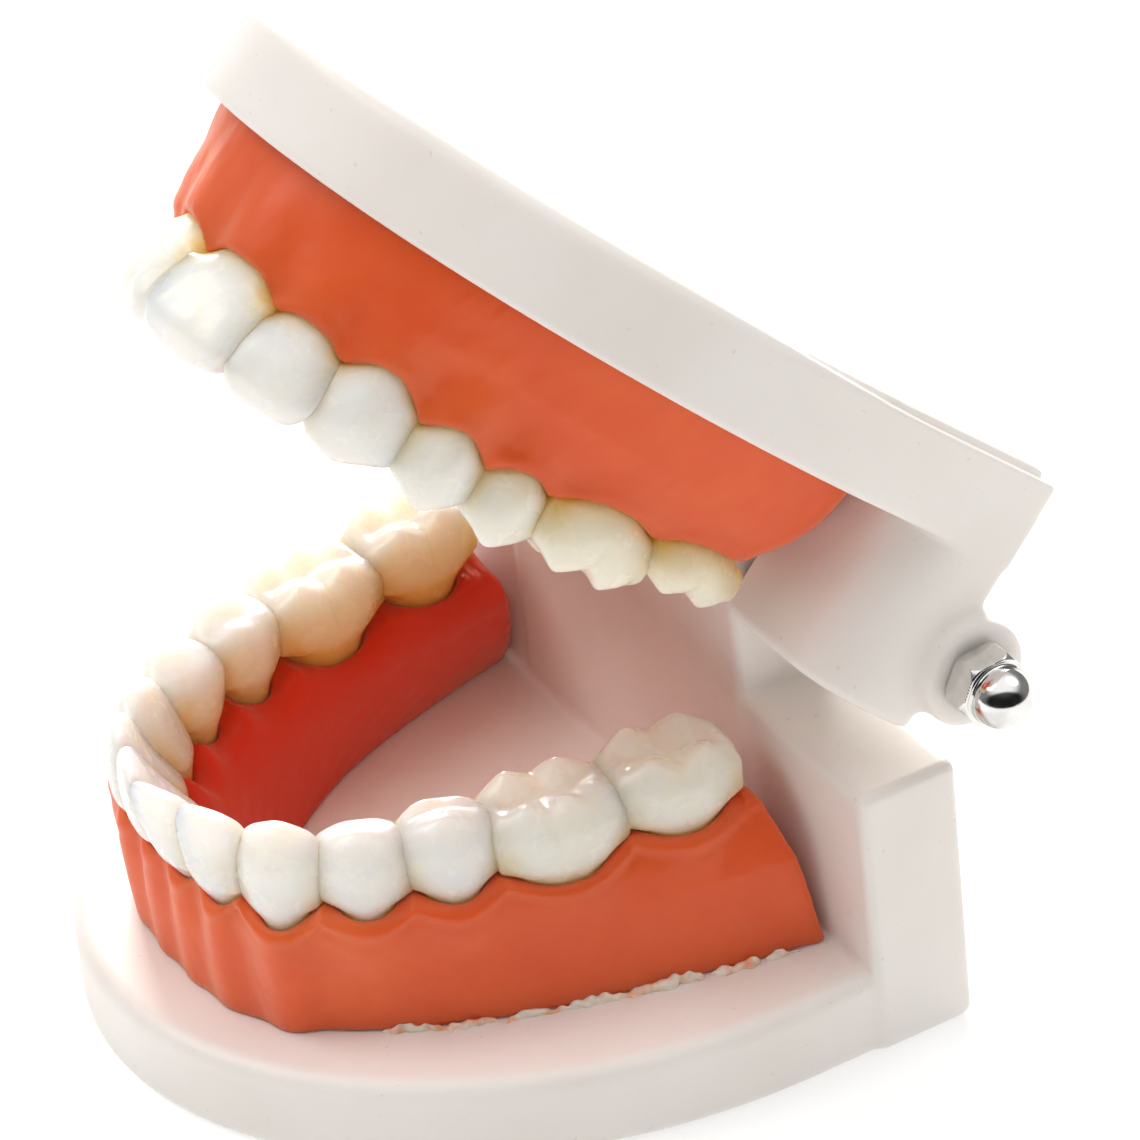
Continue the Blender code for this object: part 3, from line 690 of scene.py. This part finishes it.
class Nodes:
    """Short way of making the nodes of one material."""

    def __init__(self, name):
        self.material = bpy.data.materials.new(name)
        self.material.use_nodes = True
        self.tree = self.material.node_tree
        self.shader = self.tree.nodes["Principled BSDF"]
        self.coords = self.add("ShaderNodeTexCoord").outputs["Object"]

    def add(self, kind, **settings):
        node = self.tree.nodes.new(kind)
        for key, value in settings.items():
            setattr(node, key, value)
        return node

    def link(self, source, target):
        self.tree.links.new(source, target)

    def set(self, values):
        for name, value in values.items():
            self.shader.inputs[name].default_value = value

    def noise(self, scale, detail):
        node = self.add("ShaderNodeTexNoise")
        node.inputs["Scale"].default_value = scale
        node.inputs["Detail"].default_value = detail
        self.link(self.coords, node.inputs["Vector"])
        return node.outputs["Fac"]

    def ramp(self, source, *stops):
        node = self.add("ShaderNodeValToRGB")
        elements = node.color_ramp.elements
        while len(elements) < len(stops):
            elements.new(0.5)
        for element, (place, colour) in zip(elements, stops):
            element.position = place
            element.color = colour if len(colour) == 4 else (*colour, 1.0)
        self.link(source, node.inputs["Fac"])
        return node.outputs["Color"]

    def mix(self, share, first, second):
        node = self.add("ShaderNodeMix", data_type="RGBA")
        for value, index in ((share, 0), (first, 6), (second, 7)):
            feed(self.tree, node.inputs[index], value)
        return node.outputs[2]

    def range(self, source, *limits):
        return map_range(self.tree, source, *limits)

    def bump(self, *layers):
        """Layers are (height source, strength, distance in metres)."""
        normal = None
        for source, strength, distance in layers:
            node = self.add("ShaderNodeBump")
            node.inputs["Strength"].default_value = strength
            node.inputs["Distance"].default_value = distance
            self.link(source, node.inputs["Height"])
            if normal is not None:
                self.link(normal, node.inputs["Normal"])
            normal = node.outputs["Normal"]
        self.link(normal, self.shader.inputs["Normal"])

    def colour(self, source):
        self.link(source, self.shader.inputs["Base Color"])

    def roughness(self, scale, detail, low, high):
        """Roughness that wanders between two values."""
        self.link(self.range(self.noise(scale, detail), 0.3, 0.7, low, high), self.shader.inputs["Roughness"])

    def attribute(self, name):
        return self.add("ShaderNodeAttribute", attribute_name=name).outputs["Fac"]


def white_plastic():
    nodes = Nodes("white_plastic")
    mottle = nodes.noise(60.0, 3.0)
    colour = nodes.ramp(mottle, (0.3, srgb(238, 232, 226)), (0.7, srgb(246, 241, 237)))
    speck_share = nodes.range(nodes.noise(1500.0, 1.0), 0.74, 0.80, 0.0, 0.25)
    colour = nodes.mix(speck_share, colour, srgb(190, 176, 166))
    nodes.colour(colour)
    nodes.roughness(250.0, 3.0, 0.34, 0.46)
    nodes.set({
        "IOR": 1.48, "Subsurface Weight": 0.15, "Subsurface Radius": (1.0, 0.8, 0.7), "Subsurface Scale": 0.002,
    })
    nodes.bump((nodes.noise(120.0, 2.0), 0.10, 0.0004), (nodes.noise(2600.0, 2.0), 0.05, 0.00004))
    return nodes.material


def gum_plastic():
    nodes = Nodes("gum_plastic")
    blotch = nodes.noise(110.0, 3.0)
    colour = nodes.ramp(blotch, (0.30, srgb(226, 82, 24)), (0.55, srgb(231, 90, 30)), (0.75, srgb(235, 100, 38)))
    # Painted shade: inside the arch the gum is coloured a deeper, darker red, standing in for shade and red light
    # bounced between the gum walls.
    colour = nodes.mix(nodes.range(nodes.attribute("inside"), 0.0, 1.0, 0.0, 0.9), colour, srgb(222, 44, 2))
    nodes.colour(colour)
    nodes.roughness(400.0, 3.0, 0.44, 0.54)
    nodes.set({
        "IOR": 1.47, "Sheen Weight": 0.26, "Sheen Roughness": 0.6, "Sheen Tint": (1.0, 0.80, 0.66, 1.0),
        "Specular IOR Level": 0.38, "Subsurface Weight": 0.35, "Subsurface Radius": (1.0, 0.25, 0.08),
        "Subsurface Scale": 0.006, "Coat Weight": 0.08, "Coat Roughness": 0.16,
    })
    cells = nodes.add("ShaderNodeTexVoronoi")
    cells.inputs["Scale"].default_value = 110.0
    nodes.link(nodes.coords, cells.inputs["Vector"])
    bubbles = nodes.range(cells.outputs["Distance"], 0.015, 0.045, -1.0, 0.0)
    nodes.bump((nodes.noise(160.0, 2.0), 0.10, 0.0004), (bubbles, 0.6, 0.0002))
    return nodes.material


def set_glue():
    nodes = Nodes("set_glue")
    patches = nodes.noise(700.0, 2.0)
    nodes.colour(nodes.ramp(patches, (0.30, srgb(244, 170, 130)), (0.55, srgb(253, 236, 222))))
    nodes.roughness(900.0, 2.0, 0.15, 0.35)
    nodes.set({"Subsurface Weight": 0.5, "Subsurface Radius": (1.0, 0.6, 0.45), "Subsurface Scale": 0.001})
    nodes.bump((nodes.noise(2400.0, 2.0), 0.2, 0.0001))
    return nodes.material


def tooth_plastic():
    nodes = Nodes("tooth_plastic")
    cloud = nodes.noise(220.0, 3.0)
    ivory = nodes.ramp(cloud, (0.3, srgb(244, 241, 229)), (0.7, srgb(250, 248, 240)))
    # Painted glow: the attribute mixes in ochre for light bounced off the gum and passed through the teeth, plus a
    # yellower tone towards the back.
    painted_glow_and_back_tint = nodes.mix(nodes.range(nodes.attribute("painted_glow_and_back_tint"), 0.0, 1.0, 0.0, 1.0), ivory, srgb(248, 202, 108))
    nodes.colour(painted_glow_and_back_tint)
    nodes.roughness(500.0, 3.0, 0.20, 0.32)
    nodes.set({
        "IOR": 1.5, "Subsurface Weight": 0.8, "Subsurface Radius": (1.0, 0.75, 0.48), "Subsurface Scale": 0.010,
        "Coat Weight": 0.2, "Coat Roughness": 0.1,
    })
    nodes.bump((nodes.noise(600.0, 2.0), 0.08, 0.0002))
    return nodes.material


def bright_steel():
    nodes = Nodes("bright_steel")
    smear = nodes.noise(900.0, 3.0)
    nodes.colour(nodes.ramp(smear, (0.3, (0.66, 0.655, 0.64)), (0.7, (0.78, 0.775, 0.76))))
    nodes.roughness(1800.0, 3.0, 0.06, 0.16)
    nodes.set({"Metallic": 1.0})
    nodes.bump((nodes.noise(1500.0, 2.0), 0.05, 0.00005))
    return nodes.material


# ---------------- bases

def plate_plan(x, y, front, rear):
    """Field of the plan of a plate: straight sides, then half an ellipse."""
    long = SIDE_END_Y - front
    px = np.abs(x)
    py = np.maximum(SIDE_END_Y - y, 0.0)
    k0 = np.sqrt((px / HALF_WIDTH) ** 2 + (py / long) ** 2) + 1e-6
    k1 = np.sqrt((px / HALF_WIDTH**2) ** 2 + (py / long**2) ** 2) + 1e-9
    rim = k0 * (k0 - 1) / k1
    return round_meet(rim, y - rear, 0.6)


def box_field(x, y, z, low, high, radius):
    centre = [(a + b) / 2 for a, b in zip(low, high)]
    half = [(b - a) / 2 - radius for a, b in zip(low, high)]
    q = [np.abs(v - m) - h for v, m, h in zip((x, y, z), centre, half)]
    outside = np.sqrt(sum(np.maximum(v, 0.0) ** 2 for v in q))
    inside = np.minimum(np.maximum(np.maximum(q[0], q[1]), q[2]), 0.0)
    return outside + inside - radius


def hinge_distance(y, z):
    return np.hypot(y - HINGE_Y, z - HINGE_Z)


def lower_base_field(x, y, z):
    plan = plate_plan(x, y, LOWER_FRONT_Y, REAR_Y - 1.0)
    plate = round_meet(plan, z - LOWER_PLATE, 1.5)
    plate = round_meet(plate, -z, 0.9)
    block = box_field(x, y, z, (-BLOCK_HALF, BLOCK_FRONT_Y, 0.0), (BLOCK_HALF, REAR_Y, SHOULDER_Z), 0.8)
    post = box_field(x, y, z, (-POST_HALF, BLOCK_FRONT_Y, 0.0), (POST_HALF, REAR_Y, POST_TOP), 0.8)
    from_hinge = hinge_distance(y, z)
    ear = round_meet(from_hinge - EAR_RADIUS, np.abs(x) - POST_HALF, 0.5)
    post = round_join(post, ear, 0.8)
    block = round_join(block, post, 0.7)
    block = np.maximum(block, np.minimum(y - REAR_Y, ear))
    base = round_join(plate, block, 0.6)
    base = np.maximum(base, -z)
    # The joins swell near the ears, so the faces beside the post are trimmed flat again.
    base = np.maximum(base, np.minimum(np.abs(x) - POST_HALF, TRIM_RADIUS - from_hinge))
    return np.maximum(base, BORE_RADIUS - from_hinge)


def upper_base_field(x, y, z):
    plan = plate_plan(x, y, UPPER_FRONT_Y, REAR_Y)
    plate = round_meet(plan, z - UPPER_TOP, 1.3 - 0.9 * step(-5.0, 22.0, y))
    ledge = round_meet(plan + 1.15, z - UPPER_TOP, 0.35)
    below = round_meet(plan, z - (UPPER_TOP - 0.55 * step(-8.0, 16.0, y)), 0.4)
    plate = np.maximum(plate, np.minimum(ledge, below))
    plate = round_meet(plate, UPPER_UNDERSIDE - z, 0.5)
    ax = np.abs(x)
    arm = round_meet(ax - HALF_WIDTH, ARM_FRONT_Y - y, ARM_CORNER)
    chamfer = ((ARM_INNER + ARM_FRONT_Y + ARM_CHAMFER) - ax - y) / math.sqrt(2)
    inner = round_meet(ARM_INNER - ax, chamfer, 0.4)
    arm = round_meet(arm, inner, 0.5)
    arm = round_meet(arm, y - REAR_Y, 0.8)
    arm = round_meet(arm, ARM_BOTTOM - z, 0.7)
    arm = np.maximum(arm, z - (UPPER_UNDERSIDE + 4.0))
    from_hinge = hinge_distance(y, z)
    ear = np.maximum(round_meet(from_hinge - EAR_RADIUS, ax - EAR_FACE, 0.5), ARM_INNER - ax)
    base = round_join(plate, arm, 0.6)
    base = np.maximum(np.maximum(base, y - REAR_Y), ax - HALF_WIDTH)
    base = round_join(base, ear, 1.2)
    # The join swells near the ears, so the arms' inner faces are trimmed flat again.
    base = np.maximum(base, np.minimum(ARM_INNER - ax, TRIM_RADIUS - from_hinge))
    return np.maximum(base, BORE_RADIUS - from_hinge)


def make_base(name, field_of, low, high, body, material):
    axes = grid_axes(low, high, BASE_PITCH)
    x, y, z = (v.astype(np.float32) for v in np.meshgrid(*axes, indexing="ij", copy=False))
    field = field_of(x, y, z)
    whole = np.concatenate([field[:0:-1], field], axis=0)
    points, quads = mesh_of_field(whole, (-axes[0][-1], low[1], low[2]), BASE_PITCH)
    piece = new_piece(name + "_moulding", points, quads, body, [material])
    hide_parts(name)


# ---------------- steel

def turned(profile, segments):
    """Points and faces of a profile of (radius, along) turned about X, closed at both ends on the axis."""
    points = []
    faces = []
    rings = []
    for radius, along in profile:
        if radius < 1e-6:
            rings.append([len(points)])
            points.append((along, 0.0, 0.0))
        else:
            rings.append(list(range(len(points), len(points) + segments)))
            for i in range(segments):
                angle = 2 * math.pi * i / segments
                points.append((along, radius * math.cos(angle), radius * math.sin(angle)))
    for low, high in zip(rings, rings[1:]):
        for i in range(segments):
            j = (i + 1) % segments
            corners = [ring[k % len(ring)] for ring, k in ((low, i), (low, j), (high, j), (high, i))]
            # A ring of one point, at a tip, gives a triangle.
            faces.append(tuple(dict.fromkeys(corners)))
    return points, faces


def make_rod(material):
    """Threaded rod: a stack of fine rings, with plain chamfered ends."""
    profile = [(0.0, -ROD_REACH), (ROD_END_RADIUS, -ROD_REACH)]
    for i in range(int(2 * (ROD_REACH - 0.5) / THREAD_PITCH)):
        at = -ROD_REACH + 0.5 + i * THREAD_PITCH
        profile += [(ROD_RADIUS, at), (ROD_RADIUS, at + 0.12)]
        profile += [(ROD_ROOT_RADIUS, at + 0.25), (ROD_ROOT_RADIUS, at + 0.32)]
    profile += [(ROD_END_RADIUS, ROD_REACH), (0.0, ROD_REACH)]
    points, faces = turned(profile, 32)
    points = [(x, y + HINGE_Y, z + HINGE_Z) for x, y, z in points]
    piece = new_piece("hinge_rod_threaded", points, faces, "upper_jaw", [material])
    piece.data.set_sharp_from_angle(angle=math.radians(25))
    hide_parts("hinge_rod")


def nut_field(x, y, z):
    """Acorn nut along +X from its seat at 0: chamfered hexagon, collar, dome and blind bore."""
    hexagon = np.full(x.shape, -100.0, np.float32)
    for i in range(6):
        angle = math.pi / 3 * i + math.pi / 6
        hexagon = np.maximum(hexagon, y * math.cos(angle) + z * math.sin(angle) - NUT_FLATS / 2)
    across = np.hypot(y, z)
    body = round_meet(hexagon, x - NUT_HEX, 0.06)
    body = round_meet(body, -x, 0.06)
    body = round_meet(body, (across - 2.95) * 0.87 + (x - 2.45) * 0.5, 0.05)
    body = round_meet(body, (across - 3.0) * 0.87 - (x - 0.1) * 0.5, 0.05)
    stem = np.maximum(across - NUT_DOME_RADIUS, x - NUT_DOME_X)
    dome = np.sqrt(np.maximum(x - NUT_DOME_X, 0.0) ** 2 + across**2) - NUT_DOME_RADIUS
    cap = np.maximum(np.where(x > NUT_DOME_X, dome, stem), 1.0 - x)
    nut = round_join(body, cap, 0.18)
    bore = np.maximum(across - NUT_BORE_RADIUS, x - NUT_DOME_X)
    return np.maximum(nut, -bore)


def make_nut(side_name, side, material):
    low, high, pitch = (-0.4, -3.6, -3.6), (6.2, 3.6, 3.6), 0.075
    axes = grid_axes(low, high, pitch)
    x, y, z = np.meshgrid(*axes, indexing="ij")
    turn = math.radians(12.0)
    y, z = y * math.cos(turn) - z * math.sin(turn), y * math.sin(turn) + z * math.cos(turn)
    points, quads = mesh_of_field(nut_field(x, y, z), low, pitch)
    points = points + np.array([NUT_SEAT, HINGE_Y, HINGE_Z])
    if side < 0:
        points[:, 0] *= -1
        quads = quads[:, ::-1]
    name = f"{side_name}_acorn_nut"
    piece = new_piece(name + "_cap", points, quads, "upper_jaw", [material])
    piece.data.set_sharp_from_angle(angle=math.radians(32))
    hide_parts(name)


# ---------------- jaws

def make_jaw(jaw, teeth, arch, gum_material, glue_material, tooth_material):
    up = 1 if jaw == "lower" else -1
    body = f"{jaw}_jaw"
    necks = [up * tooth[4] - tooth[3] for tooth in teeth]
    places = arch_places(arch, [tooth[1] for tooth in teeth])
    table = margin_table(teeth, necks, GUMS[jaw]["papillae"])
    start = 0.0
    for index, (tooth, place, neck) in enumerate(zip(teeth, places, necks)):
        points, quads, share = make_tooth_mesh(tooth, place, neck, 11 + index + (40 if up < 0 else 0))
        # Painted glow: ochre near the gum, on the inner side and between neighbours stands in for orange light bounced
        # off the gum and passed through the teeth into their shaded parts.
        m, o, _ = local_frame(place, neck, points[:, 0], points[:, 1], points[:, 2])
        above = points[:, 2] - table(start + tooth[1] / 2 - m)
        inner_side = step(0.1, -0.6, o / tooth[2])
        near_gum = np.exp(-np.maximum(above, 0.0) / (1.1 + 1.3 * inner_side))
        between = step(0.55, 1.0, np.abs(m) / (tooth[1] / 2)) * step(0.95, 0.35, share)
        outer_side = step(-0.15, 0.35, o / tooth[2])
        # Less painted glow on the outer sides, most of all on the front teeth.
        outer_glow_cut = 1 - (0.70 - 0.10 * index) * outer_side if index < 4 else 1 - 0.25 * outer_side
        tongue_side = (0.30 if index > 4 else 0.16) * inner_side * step(1.1, 0.2, share)
        painted_glow_and_back_tint = outer_glow_cut * np.clip(0.80 * near_gum + tongue_side + 0.30 * between, 0.0, 1.0)
        # The teeth are a little yellower towards the back, mostly the upper ones.
        painted_glow_and_back_tint = np.clip(painted_glow_and_back_tint + (0.065 * max(index - 2, 0) if up < 0 else 0.07 * max(index - 4, 0)), 0.0, 1.0)
        for side, side_name in ((1, "left"), (-1, "right")):
            where = to_world(points, up)
            where[:, 0] *= side
            flip = (side < 0) != (up < 0)
            name = f"{jaw}_{side_name}_{tooth[0]}"
            piece = new_piece(name + "_crown", where, quads[:, ::-1] if flip else quads, body, [tooth_material])
            set_attribute(piece, "painted_glow_and_back_tint", painted_glow_and_back_tint)
            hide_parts(name)
        start += tooth[1]
    points, quads = make_gum(jaw, teeth, arch, 5 if up > 0 else 9)
    flesh_count = len(quads)
    if up > 0:
        crust_points, crust_quads = make_crust()
        quads = np.concatenate([quads, crust_quads + len(points)])
        points = np.concatenate([points, crust_points])
    materials = [gum_material, glue_material]
    piece = new_piece(f"{jaw}_gum_flesh", to_world(points, up), quads[:, ::-1] if up < 0 else quads, body, materials)
    # The inside attribute marks where painted shade goes: deeper red inside the arch, standing in for shade and bounced
    # red light.
    set_attribute(piece, "inside", step(-0.5, -3.5, arch_region(points[:, 0], points[:, 1], arch)))
    which = np.zeros(len(piece.data.polygons), np.int32)
    which[flesh_count:] = 1
    piece.data.polygons.foreach_set("material_index", which)
    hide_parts(f"{jaw}_gum")


# ---------------- stage

LIGHT_TARGET = Vector((0, 0, 0.03))
# Half-axes of the dark ellipse on the camera's side, as sines of the angles it spans.
DARK_HALF_WIDTH = 0.95
DARK_HALF_HEIGHT = 0.52
SKY_WHITE = 1.5


def make_stage():
    mesh = bpy.data.meshes.new("floor")
    mesh.from_pydata([(-3, -3, 0), (3, -3, 0), (3, 3, 0), (-3, 3, 0)], [], [(0, 1, 2, 3)])
    floor = new_object("floor", mesh)
    nodes = Nodes("floor_white")
    nodes.colour(nodes.ramp(nodes.noise(3.0, 2.0), (0.3, (0.64, 0.64, 0.64)), (0.7, (0.67, 0.67, 0.67))))
    nodes.set({
        "Roughness": 0.9, "Specular IOR Level": 0.1, "Emission Color": (1.0, 1.0, 1.0, 1.0),
        "Emission Strength": 0.45,
    })
    mesh.materials.append(nodes.material)


def direction(azimuth, elevation):
    """Unit vector towards a viewer. Azimuth 0 is in front of the model, at -Y."""
    flat = math.cos(elevation)
    return math.sin(azimuth) * flat, -math.cos(azimuth) * flat, math.sin(elevation)


def make_area_light(name, place, size, power, colour=(1, 1, 1)):
    light = bpy.data.lights.new(name, "AREA")
    light.shape = "DISK"
    light.size = size
    light.energy = power
    light.color = colour
    lamp = new_object(name, light)
    lamp.location = place
    lamp.rotation_euler = (LIGHT_TARGET - Vector(place)).to_track_quat("-Z", "Y").to_euler()
    return lamp


def make_lights():
    world = bpy.data.worlds.new("studio")
    bpy.context.scene.world = world
    world.use_nodes = True
    tree = world.node_tree
    background = tree.nodes["Background"]
    background.inputs["Strength"].default_value = 1.0
    coords = tree.nodes.new("ShaderNodeTexCoord").outputs["Generated"]

    def along(way):
        node = tree.nodes.new("ShaderNodeVectorMath")
        node.operation = "DOT_PRODUCT"
        node.inputs[1].default_value = way
        tree.links.new(coords, node.inputs[0])
        return node.outputs["Value"]

    def calculate(operation, first, second):
        node = tree.nodes.new("ShaderNodeMath")
        node.operation = operation
        feed(tree, node.inputs[0], first)
        feed(tree, node.inputs[1], second)
        return node.outputs[0]

    def smooth(source, *limits):
        return map_range(tree, source, *limits, kind="SMOOTHSTEP")

    def squared_share(way, half):
        square = calculate("POWER", calculate("ABSOLUTE", along(way), 0.0), 2.0)
        return calculate("MULTIPLY", square, 1 / half**2)

    # A broad dark room on the camera's side, and a bright ceiling.
    azimuth, elevation = math.radians(62.4), math.radians(26.0)
    rise = (-math.sin(azimuth) * math.sin(elevation), math.cos(azimuth) * math.sin(elevation), math.cos(elevation))
    sideways = squared_share((math.cos(azimuth), math.sin(azimuth), 0.0), DARK_HALF_WIDTH)
    ellipse = calculate("ADD", sideways, squared_share(rise, DARK_HALF_HEIGHT))
    edge = smooth(ellipse, 0.75, 1.25, 0.0, 1.0)
    behind = smooth(along(direction(azimuth, elevation)), 0.0, 0.25, 1.0, 0.0)
    lit = calculate("MAXIMUM", edge, behind)
    ceiling = smooth(along((0.0, 0.0, 1.0)), 0.45, 0.85, 0.25, 1.2)
    level = calculate("MULTIPLY", ceiling, calculate("ADD", calculate("MULTIPLY", lit, 0.94), 0.06))
    tint = tree.nodes.new("ShaderNodeMix")
    tint.data_type = "RGBA"
    tint.inputs[6].default_value = (0.0, 0.0, 0.0, 1.0)
    tint.inputs[7].default_value = (SKY_WHITE, 1.49, 1.475, 1.0)
    tree.links.new(calculate("MULTIPLY", level, 1 / SKY_WHITE), tint.inputs[0])
    tree.links.new(tint.outputs[2], background.inputs["Color"])
    make_area_light("key", (-0.50, -0.62, 1.15), 0.8, 5.1, (1.0, 0.975, 0.95))
    make_area_light("top", (0.1, 0.75, 1.15), 0.9, 2.0)
    make_area_light("far_side", (-1.1, 0.6, 0.4), 0.7, 28.0, (1.0, 0.97, 0.92))
    fill = make_area_light("fill", (1.15, -0.45, 0.80), 0.9, 3.1, (1.0, 0.95, 0.90))
    fill.visible_glossy = False


def make_camera():
    azimuth, elevation, roll = math.radians(62.41), math.radians(33.97), math.radians(-6.17)
    back = Vector(direction(azimuth, elevation))
    right = Vector((math.cos(azimuth), math.sin(azimuth), 0.0))
    up = back.cross(right)
    across = right * math.cos(roll) + up * math.sin(roll)
    rise = up * math.cos(roll) - right * math.sin(roll)
    aim = Vector((0.0, -0.007, 0.030))
    data = bpy.data.cameras.new("camera")
    data.sensor_width = 36.0
    data.lens = 224.9
    data.clip_start = 0.05
    camera = new_object("camera", data)
    matrix = Matrix((across, rise, back)).transposed().to_4x4()
    matrix.translation = aim + back * 0.5355 + across * 0.01914 + rise * 0.00621
    camera.matrix_world = matrix
    bpy.context.scene.camera = camera


white = white_plastic()
gum = gum_plastic()
glue = set_glue()
ivory = tooth_plastic()
steel = bright_steel()

make_camera()
make_stage()
make_lights()
make_base("lower_base", lower_base_field, (0.0, -29.0, -1.0), (35.5, 35.5, 40.0), "lower_jaw", white)
make_base("upper_base", upper_base_field, (0.0, -29.0, 23.5), (36.5, 35.5, 48.0), "upper_jaw", white)
make_rod(steel)
make_nut("left", 1, steel)
make_nut("right", -1, steel)
make_jaw("lower", LOWER_TEETH, LOWER_ARCH, gum, glue, ivory)
make_jaw("upper", UPPER_TEETH, UPPER_ARCH, gum, glue, ivory)
bpy.context.scene.view_settings.view_transform = "Standard"
